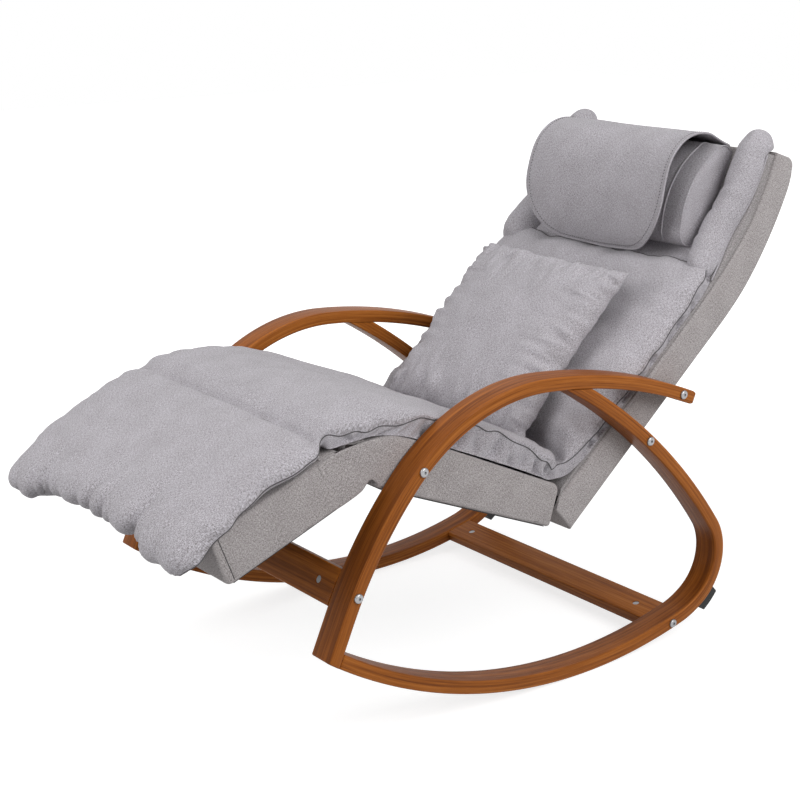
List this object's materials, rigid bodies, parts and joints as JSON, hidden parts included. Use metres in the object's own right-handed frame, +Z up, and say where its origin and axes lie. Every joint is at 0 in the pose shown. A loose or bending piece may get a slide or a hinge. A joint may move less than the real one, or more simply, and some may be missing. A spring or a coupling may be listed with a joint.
{
  "type": "rocking massage lounge chair",
  "caption": "Rocking lounge chair on bent laminated wood side frames, with an upholstered seat, a folding leg rest, a tilted back, loose pillows and a massage unit in the back.",
  "frame": {"origin": "on the floor, at the middle of the overall box", "axes": "+Z up; +Y towards the back, so the sitter faces -Y; +X to the sitter's left"},
  "size_m": [0.669, 1.3331, 0.9196],
  "materials": {
    "wood": "satin",
    "bolt_steel": "satin",
    "stop_rubber": "matte",
    "cover_fabric": "matte",
    "cushion_fabric": "matte",
    "foam": "matte",
    "lining": "matte",
    "frame_steel": "satin",
    "back_board": "matte",
    "webbing": "matte",
    "plywood": "matte",
    "unit_steel": "satin",
    "motor_steel": "satin",
    "nut_brass": "satin",
    "roller_rubber": "matte",
    "box_plastic": "matte",
    "switch_plastic": "gloss"
  },
  "bodies": {
    "chair": {"back_cushion": "cushion_fabric", "back_frame": "frame_steel", "back_panel": "back_board", "back_shell": "cover_fabric", "barrel_nuts": "bolt_steel", "bolt_spacers": "bolt_steel", "control_box": "box_plastic", "frame_bolts": "bolt_steel", "frame_nuts": "bolt_steel", "front_rail": "wood", "guide_rails": "bolt_steel", "head_pillow": "cushion_fabric", "hinge_bases": "frame_steel", "hinge_pins": "bolt_steel", "left_arm_strip": "wood", "left_bolster": "cushion_fabric", "left_rocker_strip": "wood", "lift_motor": "motor_steel", "lower_mount": "unit_steel", "power_jack": "box_plastic", "rear_rail": "wood", "right_arm_strip": "wood", "right_bolster": "cushion_fabric", "right_rocker_strip": "wood", "rocker_stops": "stop_rubber", "seat_cushion": "cushion_fabric", "seat_foam": "foam", "seat_frame": "frame_steel", "seat_lining": "lining", "seat_shell": "cover_fabric", "seat_straps": "webbing", "switch_bezel": "box_plastic", "unit_base": "unit_steel", "upper_mount": "unit_steel"},
    "legrest": {"legrest_shell": "cover_fabric", "legrest_lining": "lining", "legrest_frame": "frame_steel", "legrest_board": "plywood", "legrest_foam": "foam", "leg_cushion": "cushion_fabric", "hinge_arms": "frame_steel"},
    "head_flap": {"head_flap": "cushion_fabric"},
    "lumbar_pillow": {"lumbar_pillow": "cushion_fabric"},
    "carriage": {"massage_carriage": "unit_steel", "lift_nut": "nut_brass", "kneading_gearbox": "unit_steel", "kneading_motor": "motor_steel"},
    "lift_screw": {"lift_screw": "bolt_steel"},
    "kneading_shaft": {"kneading_shaft": "bolt_steel"},
    "left_massage_arm": {"left_massage_arm": "unit_steel", "left_roller_axles": "bolt_steel"},
    "right_massage_arm": {"right_massage_arm": "unit_steel", "right_roller_axles": "bolt_steel"},
    "left_lower_roller": {"left_lower_roller": "roller_rubber"},
    "left_upper_roller": {"left_upper_roller": "roller_rubber"},
    "right_lower_roller": {"right_lower_roller": "roller_rubber"},
    "right_upper_roller": {"right_upper_roller": "roller_rubber"},
    "power_switch": {"power_switch": "switch_plastic"}
  },
  "joints": [
    {"name": "legrest_fold", "type": "hinge", "parent": "chair", "child": "legrest", "pos_m": [0, -0.323, 0.458], "axis": [1, 0, 0], "range_deg": [0, 35]},
    {"name": "head_flap_lift", "type": "hinge", "parent": "chair", "child": "head_flap", "pos_m": [0, 0.63705, 0.8713], "axis": [-1, 0, 0], "range_deg": [0, 100]},
    {"name": "lumbar_pillow_lift", "type": "slide", "parent": "chair", "child": "lumbar_pillow", "axis": [0, -0.6521, 0.7581], "range_m": [0, 0.25]},
    {"name": "carriage_travel", "type": "slide", "parent": "chair", "child": "carriage", "axis": [0, 0.7581, 0.6521], "range_m": [-0.075, 0.075]},
    {"name": "lift_screw_spin", "type": "hinge", "parent": "chair", "child": "lift_screw", "pos_m": [0, 0.29418, 0.42612], "axis": [0, 0.7581, 0.6521], "range_deg": [-1351, 1351]},
    {"name": "kneading_shaft_spin", "type": "hinge", "parent": "carriage", "child": "kneading_shaft", "pos_m": [0, 0.27331, 0.45038], "axis": [1, 0, 0], "continuous": true},
    {"name": "left_arm_rock", "type": "hinge", "parent": "carriage", "child": "left_massage_arm", "pos_m": [0.06, 0.27331, 0.45038], "axis": [1, 0, 0], "range_deg": [-5, 5]},
    {"name": "right_arm_rock", "type": "hinge", "parent": "carriage", "child": "right_massage_arm", "pos_m": [-0.06, 0.27331, 0.45038], "axis": [1, 0, 0], "range_deg": [-5, 5]},
    {"name": "left_lower_roller_spin", "type": "hinge", "parent": "left_massage_arm", "child": "left_lower_roller", "pos_m": [0.078, 0.22934, 0.41256], "axis": [1, 0, 0], "continuous": true},
    {"name": "left_upper_roller_spin", "type": "hinge", "parent": "left_massage_arm", "child": "left_upper_roller", "pos_m": [0.078, 0.31729, 0.48821], "axis": [1, 0, 0], "continuous": true},
    {"name": "right_lower_roller_spin", "type": "hinge", "parent": "right_massage_arm", "child": "right_lower_roller", "pos_m": [-0.078, 0.22934, 0.41256], "axis": [1, 0, 0], "continuous": true},
    {"name": "right_upper_roller_spin", "type": "hinge", "parent": "right_massage_arm", "child": "right_upper_roller", "pos_m": [-0.078, 0.31729, 0.48821], "axis": [1, 0, 0], "continuous": true},
    {"name": "power_switch_rock", "type": "hinge", "parent": "chair", "child": "power_switch", "pos_m": [0.025, 0.20667, 0.29017], "axis": [1, 0, 0], "range_deg": [-7, 7]}
  ],
  "couplings": [
    {"joint": "lift_screw_spin", "follows": "carriage_travel", "rad_per_m": 314.16},
    {"joint": "right_arm_rock", "follows": "left_arm_rock", "ratio": -1}
  ]
}
